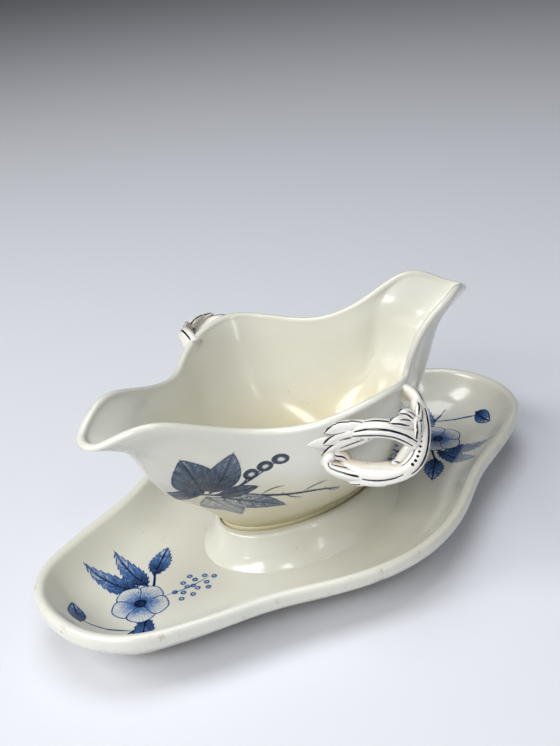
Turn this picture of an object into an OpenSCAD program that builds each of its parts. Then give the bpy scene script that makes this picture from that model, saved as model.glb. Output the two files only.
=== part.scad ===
// Two-lipped earthenware gravy boat on its scalloped stand.
// Origin: centre of the stand's foot, on the table. +X runs along the stand, +Z is up.

/* [Stand] */
// Length of the stand over its rim
stand_len = 260; // [220:1:300]
// Width of the stand over its rim
stand_wid = 146; // [130:1:160]
// Height of the stand's rim at the middle of its long sides
stand_rim_z = 24.4; // [20:0.1:28]
// How much higher the rim stands at the two ends
stand_end_rise = 2.8; // [0:0.1:5]
// Thickness of the stand's wall
stand_wall = 4.6; // [3.5:0.1:6]
// Height of the dish floor's upper face
stand_floor_z = 8.4; // [7:0.1:11]
// Height of the foot ring under the stand
stand_foot_h = 3.8; // [3:0.1:5]

/* [Pedestal] */
// Half length of the pedestal at the dish floor
pedestal_a = 50.5; // [48:0.5:54]
// Half width of the pedestal at the dish floor
pedestal_b = 33.5; // [31:0.5:36]
// Height of the pedestal's top face
pedestal_top_z = 22.4; // [20:0.1:25]
// Depth of the seat in the pedestal's top
seat_depth = 1.2; // [0.8:0.1:2]
// Clearance round the boat's foot in its seat
seat_gap = 0.4; // [0.3:0.05:0.8]

/* [Boat] */
// Half length of the boat's foot
foot_a = 41.5; // [39:0.5:43]
// Half width of the boat's foot
foot_b = 22.5; // [21:0.5:23]
// Height of the unglazed foot ring
foot_h = 2.8; // [2:0.1:4]
// Thickness of the bowl's wall
bowl_wall = 3.8; // [3:0.1:5]
// Thickness of the bowl's bottom
bowl_floor = 4.6; // [4:0.1:7]
// Turn of the boat on the stand, in degrees
boat_turn = -4; // [-6:0.5:0]

/* [Handles] */
// Scale of the section of every handle branch
branch_fat = 1; // [0.8:0.05:1.2]

/* [Hidden] */

cream = [0.93, 0.90, 0.81];
handle_white = [0.93, 0.92, 0.90];
biscuit = [0.72, 0.50, 0.28];

$fn = 72;
seat_z = pedestal_top_z - seat_depth;
bowl_z = seat_z + foot_h;

// One quarter of the stand's outline, as control points, from the +X end to the +Y side
stand_quarter = [
    [130.5, 0], [128, 18], [116.5, 33.5], [100, 40.5], [80.5, 47], [59, 52.5], [34, 67.5], [0, 76]
];
stand_ctrl = four_fold(stand_quarter);
// Size of the outline before it is scaled to stand_len and stand_wid
outline_len = 260;
outline_wid = 146;

// One side of the boat's rim, as control points, from the +X lip to the -X lip
rim_half = [
    [107, 0, 88], [99.5, 7.5, 90], [89.5, 14.5, 97.5], [77.5, 20, 96.5], [60, 20.5, 89.5],
    [39.5, 31.5, 80.5], [19, 54, 88], [-0.5, 58, 90], [-24, 50.5, 84], [-37.5, 34, 79.5],
    [-58, 25, 86], [-79, 19.5, 96], [-92.5, 12, 91], [-99, 7, 87.5], [-101, 0, 87.5]
];
rim_ctrl = concat(rim_half, [for (i = [len(rim_half) - 2:-1:1]) flip_y(rim_half[i])]);

// Wall profiles from foot to rim: [share of the way out, share of the way up]
side_profile = [[0, 0], [0.32, 0.16], [0.62, 0.36], [0.8, 0.62], [0.88, 0.83], [1, 1]];
lip_profile = [[0, 0], [0.2, 0.24], [0.46, 0.4], [0.6, 0.66], [0.68, 0.88], [1, 1]];
// Distance from the middle where the wall starts and ends its change to the lip profile
lip_start = 28;
lip_end = 85;
// How much fuller the lips' sides are half way up, which rounds the channel and the keel
lip_fullness = 0.35;

// Rings of the dish section: [distance in from the rim's edge, height], upper side
dish_top = [
    [0.3, -1.6], [0.2, -0.5], [1.2, 0], [3.2, -0.1], [4.8, -1], [7, -4.4], [10.5, -8.8], [15.5, -12.8],
    [22, -15.2]
];
// ... and lower side, from the middle out
dish_under = [[22, -19.8], [15.5, -17.6], [9.5, -13.2], [5.6, -8], [3.2, -6.4], [0.8, -5.6]];
// Drop below the rim at which the ends' extra height has faded out
rim_drop = 16;
// Points for each control point of the stand's outline and of the boat's rim
outline_steps = 4;
rim_steps = 3;
// Shares of the dish floor's size at which its flat middle gets more rings
floor_shares = [0.86, 0.55];
// Distance of the foot ring in from the rim's edge, and the ring's width
foot_in = 24;
foot_wid = 5;

// ---- curves -------------------------------------------------------------
function flip_y(p) = [p[0], -p[1], p[2]];
function flip_x2(p) = [-p[0], p[1]];
function half_from(q) = concat(q, [for (i = [len(q) - 2:-1:0]) flip_x2(q[i])]);
function four_fold(q) =
    let (h = half_from(q))
    concat(h, [for (i = [len(h) - 2:-1:1]) [h[i][0], -h[i][1]]]);
// A point of the uniform cubic B-spline span with control points a, b, c, d
function span(a, b, c, d, t) =
    (pow(1 - t, 3) * a + (3 * pow(t, 3) - 6 * t * t + 4) * b
        + (-3 * pow(t, 3) + 3 * t * t + 3 * t + 1) * c + pow(t, 3) * d) / 6;
// A closed smooth curve with m points for each control point
function closed_curve(p, m) =
    let (n = len(p))
    [for (i = [0:n - 1], k = [0:m - 1])
        span(p[(i + n - 1) % n], p[i], p[(i + 1) % n], p[(i + 2) % n], k / m)];
// An open smooth curve of m points that starts and ends on its end points
function open_curve(p, m) =
    let (
        n = len(p),
        q = concat([2 * p[0] - p[1]], p, [2 * p[n - 1] - p[n - 2]])
    )
    [for (k = [0:m - 1])
        let (s = k / (m - 1) * (n - 1), i = min(floor(s), n - 2))
        span(q[i], q[i + 1], q[i + 2], q[i + 3], s - i)];
function unit(v) = v / max(norm(v), 1e-9);
function xy(p) = [p[0], p[1]];
// Outward normals in plan of a closed anticlockwise curve
function normals(c) =
    let (n = len(c))
    [for (i = [0:n - 1])
        let (t = xy(c[(i + 1) % n]) - xy(c[(i + n - 1) % n]))
        unit([t[1], -t[0]])];
function smooth(a, b, x) =
    let (t = min(max((x - a) / (b - a), 0), 1))
    t * t * (3 - 2 * t);

// ---- meshes -------------------------------------------------------------
// Closed solid of equal rings, capped at both ends to the points cap_a and cap_b
module capped_stack(rings, cap_a, cap_b) {
    m = len(rings);
    n = len(rings[0]);
    a = m * n;
    b = a + 1;
    walls = [for (k = [0:m - 2], i = [0:n - 1])
        let (j = (i + 1) % n)
        each [[k * n + i, (k + 1) * n + j, k * n + j], [k * n + i, (k + 1) * n + i, (k + 1) * n + j]]];
    ends = [for (i = [0:n - 1])
        let (j = (i + 1) % n)
        each [[a, i, j], [b, (m - 1) * n + j, (m - 1) * n + i]]];
    polyhedron(points = concat([for (r = rings) each r], [cap_a, cap_b]),
        faces = concat(walls, ends), convexity = 8);
}
// ---- stand --------------------------------------------------------------
function stand_edge() =
    [for (p = closed_curve(stand_ctrl, outline_steps))
        [p[0] * stand_len / outline_len, p[1] * stand_wid / outline_wid]];
function rim_lift(x) = stand_end_rise * pow(2 * x / stand_len, 2);
// A ring of the dish, set in from the edge; the rise at the ends fades out towards the floor
function dish_ring(edge, nrm, inset, drop) =
    let (fade = max(0, 1 + drop / rim_drop))
    [for (i = [0:len(edge) - 1])
        let (q = edge[i] - nrm[i] * inset)
        [q[0], q[1], stand_rim_z + drop + rim_lift(edge[i][0]) * fade]];
// The middle of the floor is flat: inner rings shrink towards the centre
function shrink(ring, s, z) = [for (p = ring) [p[0] * s, p[1] * s, z]];

module stand_dish() {
    edge = stand_edge();
    nrm = normals(edge);
    top = [for (r = dish_top) dish_ring(edge, nrm, r[0], r[1])];
    under = [for (r = dish_under) dish_ring(edge, nrm, r[0], r[1])];
    last = top[len(top) - 1];
    floor_under = stand_floor_z - stand_wall;
    inner = [for (s = floor_shares) shrink(last, s, stand_floor_z)];
    inner_under = [for (s = [floor_shares[1], floor_shares[0]]) shrink(last, s, floor_under)];
    rings = concat(top, inner, inner_under, under);
    color(cream)
        dish_solid(rings, len(top) + 1);
}
// The dish runs over its rim and back under to the middle; the floor is closed by two caps
module dish_solid(rings, turn_at) {
    n = len(rings[0]);
    upper = [for (k = [turn_at:-1:0]) rings[k]];
    lower = [for (k = [len(rings) - 1:-1:turn_at + 1]) rings[k]];
    all_rings = concat(upper, lower);
    capped_stack([for (r = all_rings) [for (i = [n - 1:-1:0]) r[i]]],
        [0, 0, stand_floor_z], [0, 0, stand_floor_z - stand_wall]);
}

module stand_foot_ring() {
    edge = stand_edge();
    nrm = normals(edge);
    outer = [for (i = [0:len(edge) - 1]) edge[i] - nrm[i] * foot_in];
    color(biscuit)
        linear_extrude(height = stand_foot_h)
            difference() {
                polygon(outer);
                offset(delta = -foot_wid)
                    polygon(outer);
            }
}

// Section of the pedestal: [share of the way in from base to top, height share]
pedestal_section = [
    [0, 0], [0.02, 0.1], [0.14, 0.16], [0.4, 0.36], [0.62, 0.62], [0.78, 0.86], [0.92, 0.97], [1, 1]
];
// Width of the flat edge left round the seat
seat_edge = 2.4;
pedestal_top_a = foot_a + seat_edge;
pedestal_top_b = foot_b + seat_edge;
pedestal_sides = 56;
function pedestal_ring(s, z) =
    let (
        a = pedestal_a + (pedestal_top_a - pedestal_a) * s,
        b = pedestal_b + (pedestal_top_b - pedestal_b) * s
    )
    [for (i = [pedestal_sides:-1:1])
        let (phi = i * 360 / pedestal_sides)
        [a * cos(phi), b * sin(phi), z]];
module stand_pedestal() {
    rise = pedestal_top_z - stand_floor_z;
    rings = [for (k = [len(pedestal_section) - 1:-1:0])
        let (s = pedestal_section[k])
        pedestal_ring(s[0], stand_floor_z + s[1] * rise)];
    color(cream)
        difference() {
            capped_stack(rings, [0, 0, pedestal_top_z], [0, 0, stand_floor_z]);
            rotate([0, 0, boat_turn])
                translate([0, 0, seat_z])
                    linear_extrude(height = seat_depth + 1)
                        scale([foot_a + seat_gap, foot_b + seat_gap])
                            circle(r = 1);
        }
}

// ---- boat ---------------------------------------------------------------
// A ring of the wall at profile step k, between the foot oval and the rim
function wall_ring(rim, foot, side, lip) =
    [for (p = rim)
        let (
            phi = atan2(p[1], p[0]),
            w = smooth(lip_start, lip_end, abs(p[0])),
            g = side * (1 - w) + lip * w,
            f = [foot[0] * cos(phi), foot[1] * sin(phi)],
            q = f + (xy(p) - f) * g[0],
            full = 1 + lip_fullness * w * 4 * g[0] * (1 - g[0])
        )
        [q[0], q[1] * full, foot[2] + (p[2] - foot[2]) * g[1]]];
function wall_rings(rim, foot, steps) =
    let (side = open_curve(side_profile, steps), lip = open_curve(lip_profile, steps))
    [for (k = [0:steps - 1]) wall_ring(rim, foot, side[k], lip[k])];
function inset_curve(c, d, dz) =
    let (nrm = normals(c))
    [for (i = [0:len(c) - 1]) [c[i][0] - nrm[i][0] * d, c[i][1] - nrm[i][1] * d, c[i][2] + dz]];

// Rings in the bowl's wall
wall_steps = 14;
// Oval where the inner wall meets the bowl's flat bottom
inner_foot = [foot_a - 6, foot_b - 5.5, bowl_z + bowl_floor];
module boat_bowl() {
    rim = closed_curve(rim_ctrl, rim_steps);
    outer = wall_rings(inset_curve(rim, 0, -bowl_wall / 2), [foot_a, foot_b, bowl_z], wall_steps);
    crest = [
        inset_curve(rim, bowl_wall * 0.15, -bowl_wall * 0.15),
        inset_curve(rim, bowl_wall * 0.5, 0),
        inset_curve(rim, bowl_wall * 0.85, -bowl_wall * 0.15)
    ];
    inner = wall_rings(inset_curve(rim, bowl_wall, -bowl_wall / 2), inner_foot, wall_steps);
    down = [for (k = [wall_steps - 1:-1:0]) inner[k]];
    color(cream)
        rotate([0, 0, boat_turn])
            capped_stack(concat(outer, crest, down), [0, 0, bowl_z], [0, 0, inner_foot[2]]);
}

// Width of the boat's foot ring
foot_ring_wid = 3.6;
module boat_foot_ring() {
    color(biscuit)
        rotate([0, 0, boat_turn])
            translate([0, 0, seat_z])
                linear_extrude(height = foot_h)
                    difference() {
                        scale([foot_a, foot_b])
                            circle(r = 1);
                        scale([foot_a - foot_ring_wid, foot_b - foot_ring_wid])
                            circle(r = 1);
                    }
}

// ---- handles ------------------------------------------------------------
// Middle of the handle's loop, which every branch turns its inner side to
hub = [-6, -58, 71];
branch_sides = 12;
branch_rings = 22;
// A branch along a smooth path, with its width across the loop and its depth towards the hub
module branch(path, widths, depths) {
    c = open_curve(path, branch_rings);
    w = open_curve(widths, branch_rings);
    d = open_curve(depths, branch_rings);
    m = branch_rings;
    rings = [for (k = [0:m - 1])
        let (
            t = unit(c[min(k + 1, m - 1)] - c[max(k - 1, 0)]),
            r = c[k] - hub,
            n = unit(r - (r * t) * t),
            b = cross(t, n)
        )
        [for (i = [0:branch_sides - 1])
            let (a = i * 360 / branch_sides)
            c[k] + n * d[k] * branch_fat / 2 * sin(a) + b * w[k] * branch_fat / 2 * cos(a)]];
    capped_stack([for (r = rings) [for (i = [branch_sides - 1:-1:0]) r[i]]], c[0], c[m - 1]);
}
// One handle stands at the front; the other is the same handle turned half way round
module front() {
    color(handle_white)
        rotate([0, 0, boat_turn])
            children();
}
module rear() {
    color(handle_white)
        rotate([0, 0, boat_turn + 180])
            children();
}
module upper_branch() {
    branch(
        [
            [-26, -43, 72.5], [-21.5, -47.5, 75.5], [-16.5, -54.5, 79], [-11, -61.5, 82],
            [-6, -67, 81.5], [-1, -70.5, 78], [3, -72, 73.5]
        ],
        [4, 9, 9, 8, 7.5, 7.5, 8],
        [3, 5, 6.5, 7, 6.5, 6, 6]
    );
}
module beaded_branch() {
    branch(
        [
            [13.5, -61, 83.5], [10.5, -66.5, 81.5], [7, -71, 77.5], [4, -73, 72.5],
            [0.5, -74, 66.5], [-5.5, -70.5, 62.5], [-11, -64, 61], [-15, -57, 61],
            [-17.5, -50.5, 61.5], [-18, -45, 63]
        ],
        [6, 7, 7.5, 8, 8, 8, 8, 8, 7, 6],
        [5, 6, 6.5, 7, 7, 7, 7, 7, 6, 5]
    );
}
module rim_strap() {
    branch(
        [
            [16.5, -51.5, 82.5], [16, -55, 84.5], [14.5, -61, 84], [11.5, -66, 81]
        ],
        [8, 7.5, 7, 6],
        [5, 5, 5, 5]
    );
}
module leaf() {
    branch(
        [
            [-28, -42, 71], [-24.5, -45.5, 73.5], [-19, -51, 77], [-14, -58, 81]
        ],
        [2, 11, 12, 8],
        [2, 4, 5, 6]
    );
}
module scroll() {
    branch(
        [
            [-14, -60.5, 61.5], [-18, -54, 61.5], [-21, -48, 64], [-21, -46, 68.5],
            [-17, -49.5, 70]
        ],
        [7, 8, 8, 6, 4],
        [6, 7, 6, 5, 4]
    );
}
module curl() {
    branch(
        [
            [5, -73, 73], [1.5, -71.5, 70.5], [0, -70.5, 67], [-2.5, -70, 65],
            [-4.5, -69.5, 67]
        ],
        [6, 6, 6, 5, 3],
        [5, 5.5, 5.5, 4.5, 3]
    );
}
module knot() {
    branch(
        [
            [11.5, -62, 82], [6.5, -66, 84], [1.5, -68.5, 82], [-0.5, -69.5, 79], [3.5, -71.5, 76]
        ],
        [4, 6, 7, 6, 3],
        [3, 5, 6, 5, 3]
    );
}

stand_dish();
stand_pedestal();
stand_foot_ring();
boat_bowl();
boat_foot_ring();
front() upper_branch();  // front_upper_branch
front() beaded_branch();  // front_beaded_branch
front() rim_strap();  // front_rim_strap
front() leaf();  // front_leaf
front() scroll();  // front_scroll
front() curl();  // front_curl
front() knot();  // front_knot
rear() upper_branch();  // rear_upper_branch
rear() beaded_branch();  // rear_beaded_branch
rear() rim_strap();  // rear_rim_strap
rear() leaf();  // rear_leaf
rear() scroll();  // rear_scroll
rear() curl();  // rear_curl
rear() knot();  // rear_knot
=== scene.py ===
"""Gravy boat of cream earthenware on its scalloped stand: the looks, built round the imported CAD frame.

Lengths in this script are millimetres until mesh() turns them into metres.
"""

import math

import bpy
import numpy as np
from mathutils import Matrix, Vector
from mathutils.bvhtree import BVHTree


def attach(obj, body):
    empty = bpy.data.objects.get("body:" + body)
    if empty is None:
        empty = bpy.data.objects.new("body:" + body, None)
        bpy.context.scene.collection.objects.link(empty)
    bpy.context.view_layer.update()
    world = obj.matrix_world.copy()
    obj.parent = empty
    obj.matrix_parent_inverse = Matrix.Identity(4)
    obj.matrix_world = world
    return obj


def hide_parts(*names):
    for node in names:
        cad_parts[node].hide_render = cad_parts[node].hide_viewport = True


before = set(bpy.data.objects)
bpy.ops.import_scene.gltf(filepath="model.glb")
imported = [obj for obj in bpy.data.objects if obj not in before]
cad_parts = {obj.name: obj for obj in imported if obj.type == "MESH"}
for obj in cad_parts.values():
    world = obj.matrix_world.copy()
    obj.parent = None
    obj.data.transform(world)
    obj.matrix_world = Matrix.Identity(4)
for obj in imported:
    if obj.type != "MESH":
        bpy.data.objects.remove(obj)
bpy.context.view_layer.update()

MM = 0.001
TAU = 2 * math.pi


# ---- sizes that repeat the CAD part's -------------------------------------------------------
BOAT_TURN = math.radians(-4)
STAND_RIM_Z = 24.4
STAND_END_RISE = 2.8
STAND_LEN = 260
STAND_FLOOR_Z = 8.4
STAND_WALL = 4.6
RIM_DROP = 16
PEDESTAL_BASE = (50.5, 33.5)
PEDESTAL_TOP = (43.9, 24.9)
PEDESTAL_TOP_Z = 22.4
SEAT_Z = 21.2
SEAT_GAP = 0.4
FOOT = (41.5, 22.5)
FOOT_H = 2.8
BOWL_Z = SEAT_Z + FOOT_H
INNER_FOOT = (35.5, 17.0)
INNER_FOOT_Z = BOWL_Z + 4.6
BOWL_WALL = 3.8
LIP_FULLNESS = 0.35

# One quarter of the stand's outline, and one side of the boat's rim, as B-spline control points.
# They repeat part.scad's, which were fitted to the photograph's outlines and rounded.
STAND_QUARTER = [
    (130.5, 0), (128, 18), (116.5, 33.5), (100, 40.5), (80.5, 47), (59, 52.5), (34, 67.5), (0, 76),
]
RIM_HALF = [
    (107, 0, 88), (99.5, 7.5, 90), (89.5, 14.5, 97.5), (77.5, 20, 96.5), (60, 20.5, 89.5),
    (39.5, 31.5, 80.5), (19, 54, 88), (-0.5, 58, 90), (-24, 50.5, 84), (-37.5, 34, 79.5),
    (-58, 25, 86), (-79, 19.5, 96), (-92.5, 12, 91), (-99, 7, 87.5), (-101, 0, 87.5),
]
SIDE_PROFILE = [(0, 0), (0.32, 0.16), (0.62, 0.36), (0.8, 0.62), (0.88, 0.83), (1, 1)]
LIP_PROFILE = [(0, 0), (0.2, 0.24), (0.46, 0.4), (0.6, 0.66), (0.68, 0.88), (1, 1)]
LIP_START, LIP_END = 28, 85


# ---- curves -----------------------------------------------------------------------------------
def weights(t):
    """Weights of the four control points of a uniform cubic B-spline span."""
    return np.stack([(1 - t) ** 3, 3 * t**3 - 6 * t**2 + 4, -3 * t**3 + 3 * t**2 + 3 * t + 1, t**3], -1) / 6


def closed_curve(points, per):
    """A closed smooth curve with per points for each control point."""
    p = np.array(points, float)
    n = len(p)
    w = weights(np.arange(per) / per)
    return np.concatenate([w @ p[[(i - 1) % n, i, (i + 1) % n, (i + 2) % n]] for i in range(n)])


def open_curve(points, count):
    """An open smooth curve of count points that starts and ends on its end points."""
    p = np.array(points, float)
    if p.ndim == 1:
        p = p[:, None]
    p = np.vstack([2 * p[0] - p[1], p, 2 * p[-1] - p[-2]])
    spans = len(p) - 3
    s = np.linspace(0, spans, count)
    i = np.minimum(s.astype(int), spans - 1)
    w = weights(s - i)
    return sum(w[:, k, None] * p[i + k] for k in range(4))


def smooth(low, high, x):
    """0 below low, 1 above high, and a smooth step between."""
    t = np.clip((x - low) / (high - low), 0, 1)
    return t * t * (3 - 2 * t)


def normals_in_plan(curve):
    """Outward unit normals in plan of a closed anticlockwise curve."""
    t = np.roll(curve, -1, 0) - np.roll(curve, 1, 0)
    n = np.stack([t[:, 1], -t[:, 0]], 1)
    return n / np.linalg.norm(n, axis=1)[:, None]


def turned(points):
    """Points turned about Z by the boat's own turn."""
    p = np.asarray(points, float)
    c, s = math.cos(BOAT_TURN), math.sin(BOAT_TURN)
    return np.stack([p[..., 0] * c - p[..., 1] * s, p[..., 0] * s + p[..., 1] * c, p[..., 2]], -1)


# ---- meshes -----------------------------------------------------------------------------------
def mesh(name, points, faces, body, replaces=()):
    """A mesh piece from points in millimetres, riding on a CAD body."""
    data = bpy.data.meshes.new(name)
    data.from_pydata((np.asarray(points).reshape(-1, 3) * MM).tolist(), [], faces)
    data.validate()
    data.shade_smooth()
    piece = bpy.data.objects.new(name, data)
    bpy.context.scene.collection.objects.link(piece)
    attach(piece, body)
    if replaces:
        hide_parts(*replaces)
    return piece


def tube_faces(rows, n, closed=False):
    """Quads between rings of n points, facing out where the rings turn anticlockwise and go up."""
    faces = []
    for k in range(rows if closed else rows - 1):
        a, b = k * n, ((k + 1) % rows) * n
        for i in range(n):
            j = (i + 1) % n
            faces.append((a + i, a + j, b + j, b + i))
    return faces


def capped(rings, bottom, top):
    """Points and faces of a stack of rings closed by a fan at each end."""
    rings = np.asarray(rings)
    m, n = rings.shape[:2]
    points = np.vstack([rings.reshape(-1, 3), [bottom], [top]])
    faces = tube_faces(m, n)
    for i in range(n):
        j = (i + 1) % n
        faces.append((m * n, j, i))
        faces.append((m * n + 1, (m - 1) * n + i, (m - 1) * n + j))
    return points, faces


def store(piece, name, values):
    """Keeps one number for each vertex, for a material to read."""
    layer = piece.data.attributes.new(name, "FLOAT", "POINT")
    layer.data.foreach_set("value", np.asarray(values, np.float32).ravel())


# ---- the stand --------------------------------------------------------------------------------
def stand_outline(per):
    q = np.array(STAND_QUARTER, float)
    half = np.vstack([q, (q * [-1, 1])[-2::-1]])
    return closed_curve(np.vstack([half, (half * [1, -1])[-2:0:-1]]), per)


FLOOR_SHARES = (0.02, 0.15, 0.35, 0.55, 0.7, 0.86, 0.94)
RIM_WEAR = (0.6, 1.8)

# The stand's section from the floor over the rim and back under it, as (inset, drop) from the rim's edge
DISH_TOP = [
    (22, -15.2), (15.5, -12.8), (10.5, -8.8), (7, -4.4), (5.2, -1.6), (4.4, -0.6), (3.2, 0), (2, 0.1),
    (1, -0.2), (0.3, -1), (0.1, -2),
]
DISH_UNDER = [
    (0.1, -4.2), (0.5, -5.2), (0.9, -5.5), (1.1, -6.1), (2.2, -6.9), (4.2, -8), (7, -10.4), (11, -14.4),
    (15.5, -17.6), (22, -19.8),
]


def flat_ring(plan, z):
    return np.column_stack([plan, np.full(len(plan), z)])


def dish_ring(edge, normal, inset, drop):
    """One ring of the stand's shell; the rim lifts towards the stand's ends."""
    fade = max(0, 1 + drop / RIM_DROP)
    lift = STAND_END_RISE * (2 * edge[:, 0] / STAND_LEN) ** 2
    return np.column_stack([edge - normal * inset, STAND_RIM_Z + drop + lift * fade])


def stand_dish():
    edge = stand_outline(16)
    normal = normals_in_plan(edge)
    section = open_curve(DISH_TOP + DISH_UNDER, 70)
    shell = [dish_ring(edge, normal, inset, drop) for inset, drop in section]
    under_z = STAND_FLOOR_Z - STAND_WALL
    floor_rings = [flat_ring(shell[0][:, :2] * share, STAND_FLOOR_Z) for share in FLOOR_SHARES]
    under = [flat_ring(shell[-1][:, :2] * share, under_z) for share in FLOOR_SHARES[::-1]]
    points, faces = capped((floor_rings + shell + under)[::-1], (0, 0, under_z), (0, 0, STAND_FLOOR_Z))
    piece = mesh("stand_dish_ware", points, faces, "stand", ["stand_dish"])
    wear = np.zeros(len(points))
    insets = np.repeat(section[::-1, 0], len(edge))
    wear[len(under) * len(edge):][:len(insets)] = 1 - smooth(*RIM_WEAR, insets)
    store(piece, "wear", wear)
    return piece


# The pedestal's side as shares of the way in from its base to its top, and of its rise
PEDESTAL_SECTION = [
    (-0.14, -0.05), (-0.1, 0), (-0.04, 0.045), (0.03, 0.085), (0.1, 0.13), (0.2, 0.2), (0.38, 0.34),
    (0.6, 0.58), (0.76, 0.82), (0.86, 0.94), (0.95, 0.99), (1.02, 1.0), (1.1, 1.0),
]
PEDESTAL_BITE = 0.5
# The seat's rounded edge, as (growth of the seat's oval, drop from the pedestal's top)
SEAT_EDGE = [(0.7, 0), (0.25, 0.12), (0, 0.4)]


def oval(a, b, z, n, start=0.0):
    phi = start + np.arange(n) / n * TAU
    return np.column_stack([a * np.cos(phi), b * np.sin(phi), np.full(n, z)])


def stand_pedestal():
    n = 256
    rise = PEDESTAL_TOP_Z - STAND_FLOOR_Z
    rings = []
    for s, h in open_curve(PEDESTAL_SECTION, 60):
        a = PEDESTAL_BASE[0] + (PEDESTAL_TOP[0] - PEDESTAL_BASE[0]) * s
        b = PEDESTAL_BASE[1] + (PEDESTAL_TOP[1] - PEDESTAL_BASE[1]) * s
        rings.append(oval(a, b, STAND_FLOOR_Z + h * rise, n))
    seat_a, seat_b = FOOT[0] + SEAT_GAP, FOOT[1] + SEAT_GAP
    for grow, drop in SEAT_EDGE:
        rings.append(turned(oval(seat_a + grow, seat_b + grow, PEDESTAL_TOP_Z - drop, n, -BOAT_TURN)))
    for share in (1, 0.95, 0.6, 0.3):
        rings.append(turned(oval(seat_a * share, seat_b * share, SEAT_Z, n, -BOAT_TURN)))
    points, faces = capped(rings, (0, 0, STAND_FLOOR_Z - PEDESTAL_BITE), (0, 0, SEAT_Z))
    return mesh("stand_pedestal_ware", points, faces, "stand", ["stand_pedestal"])


FOOT_ROUND = 0.6
FOOT_CORNER = 0.2
STAND_FOOT_INSET = 24
STAND_FOOT_WIDTH = 5
STAND_FOOT_TOP = 3.8
BOAT_FOOT_WIDTH = 3.6


def foot_band(name, outline, width, low, high, body, node):
    """A closed foot ring with rounded edges: a band of the given width inside an outline."""
    normal = normals_in_plan(outline)
    r, c = FOOT_ROUND, FOOT_CORNER
    section = [
        (0, low + r), (c, low + c), (r, low),
        (width - r, low), (width - c, low + c), (width, low + r),
        (width, high - r), (width - c, high - c), (width - r, high),
        (r, high), (c, high - c), (0, high - r),
    ]
    rings = [flat_ring(outline - normal * inset, z) for inset, z in section]
    points = np.concatenate(rings)
    faces = tube_faces(len(rings), len(outline), closed=True)
    return mesh(name, points, [f[::-1] for f in faces], body, [node])


def stand_foot():
    edge = stand_outline(10)
    outline = edge - normals_in_plan(edge) * STAND_FOOT_INSET
    return foot_band(
        "stand_foot_ware", outline, STAND_FOOT_WIDTH, 0, STAND_FOOT_TOP, "stand", "stand_foot_ring"
    )


# ---- the boat ---------------------------------------------------------------------------------
def rim_curve(per):
    half = np.array(RIM_HALF, float)
    return closed_curve(np.vstack([half, half[-2:0:-1] * [1, -1, 1]]), per)


def inset(curve, distance, dz):
    """A closed curve moved inwards in plan, and up by dz."""
    moved = curve.copy()
    moved[:, :2] -= normals_in_plan(curve[:, :2]) * distance
    moved[:, 2] += dz
    return moved


def wall_rings(rim, foot, foot_z, steps):
    """Rings of the wall from the foot oval to the rim; the lips flare, the sides are round."""
    phi = np.arctan2(rim[:, 1], rim[:, 0])
    base = np.stack([foot[0] * np.cos(phi), foot[1] * np.sin(phi)], 1)
    lip_share = smooth(LIP_START, LIP_END, np.abs(rim[:, 0]))[:, None]
    rings = []
    for side, lip in zip(open_curve(SIDE_PROFILE, steps), open_curve(LIP_PROFILE, steps)):
        go = side * (1 - lip_share) + lip * lip_share
        plan = base + (rim[:, :2] - base) * go[:, :1]
        plan[:, 1] *= 1 + LIP_FULLNESS * lip_share[:, 0] * 4 * go[:, 0] * (1 - go[:, 0])
        rings.append(np.column_stack([plan, foot_z + (rim[:, 2] - foot_z) * go[:, 1]]))
    return rings


CREST_STEPS = 8
BOTTOM_SHARES = (0.72, 0.5, 0.25)
FLOOR_DISH = 0.5
CORNER_RINGS = 11
CORNER_STEPS = 14
LIP_WEAR = 1.7
LIP_WEAR_PLACE = (75, 95)


def bowl_crest(rim):
    """The half round that joins the outer wall to the inner one."""
    rings = []
    for k in range(1, CREST_STEPS):
        angle = math.pi * k / CREST_STEPS
        across = BOWL_WALL / 2 * (1 - math.cos(angle))
        rings.append(inset(rim, across, BOWL_WALL / 2 * (math.sin(angle) - 1)))
    return rings


def boat_bowl():
    rim = rim_curve(16)
    steps = 64
    phi = np.arctan2(rim[:, 1], rim[:, 0])

    def disc(size, share, z):
        return flat_ring(np.stack([size[0] * share * np.cos(phi), size[1] * share * np.sin(phi)], 1), z)

    outer = wall_rings(inset(rim, 0, -BOWL_WALL / 2), FOOT, BOWL_Z, steps)
    crest = bowl_crest(rim)
    inner = wall_rings(inset(rim, BOWL_WALL, -BOWL_WALL / 2), INNER_FOOT, INNER_FOOT_Z, steps)[::-1]
    bottom = [disc(FOOT, share, BOWL_Z) for share in BOTTOM_SHARES[::-1]]
    floor_rings = []
    for share in BOTTOM_SHARES:
        floor_rings.append(disc(INNER_FOOT, share, INNER_FOOT_Z - FLOOR_DISH * (1 - share)))
    # the wall runs into the floor in a soft curve
    wall, corner, floor = inner[-CORNER_RINGS - 1], inner[-1], floor_rings[0]
    bend = []
    for t in np.linspace(0, 1, CORNER_STEPS)[1:-1]:
        bend.append((1 - t) ** 2 * wall + 2 * t * (1 - t) * corner + t ** 2 * floor)
    rings = bottom + outer + crest + inner[:-CORNER_RINGS] + bend + floor_rings
    points, faces = capped(rings, (0, 0, BOWL_Z), (0, 0, INNER_FOOT_Z - FLOOR_DISH))
    piece = mesh("boat_bowl_ware", turned(points), faces, "boat", ["boat_bowl"])
    wear = np.zeros(len(points))
    first = (len(bottom) + steps - 1) * len(rim)
    at_lip = LIP_WEAR * smooth(*LIP_WEAR_PLACE, -rim[:, 0])
    wear[first:first + (len(crest) + 1) * len(rim)] = np.tile(at_lip, len(crest) + 1)
    store(piece, "wear", wear)
    return piece


def boat_foot():
    outline = turned(oval(FOOT[0], FOOT[1], 0, 224))[:, :2]
    return foot_band(
        "boat_foot_ware", outline, BOAT_FOOT_WIDTH, SEAT_Z, BOWL_Z, "boat", "boat_foot_ring"
    )


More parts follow.
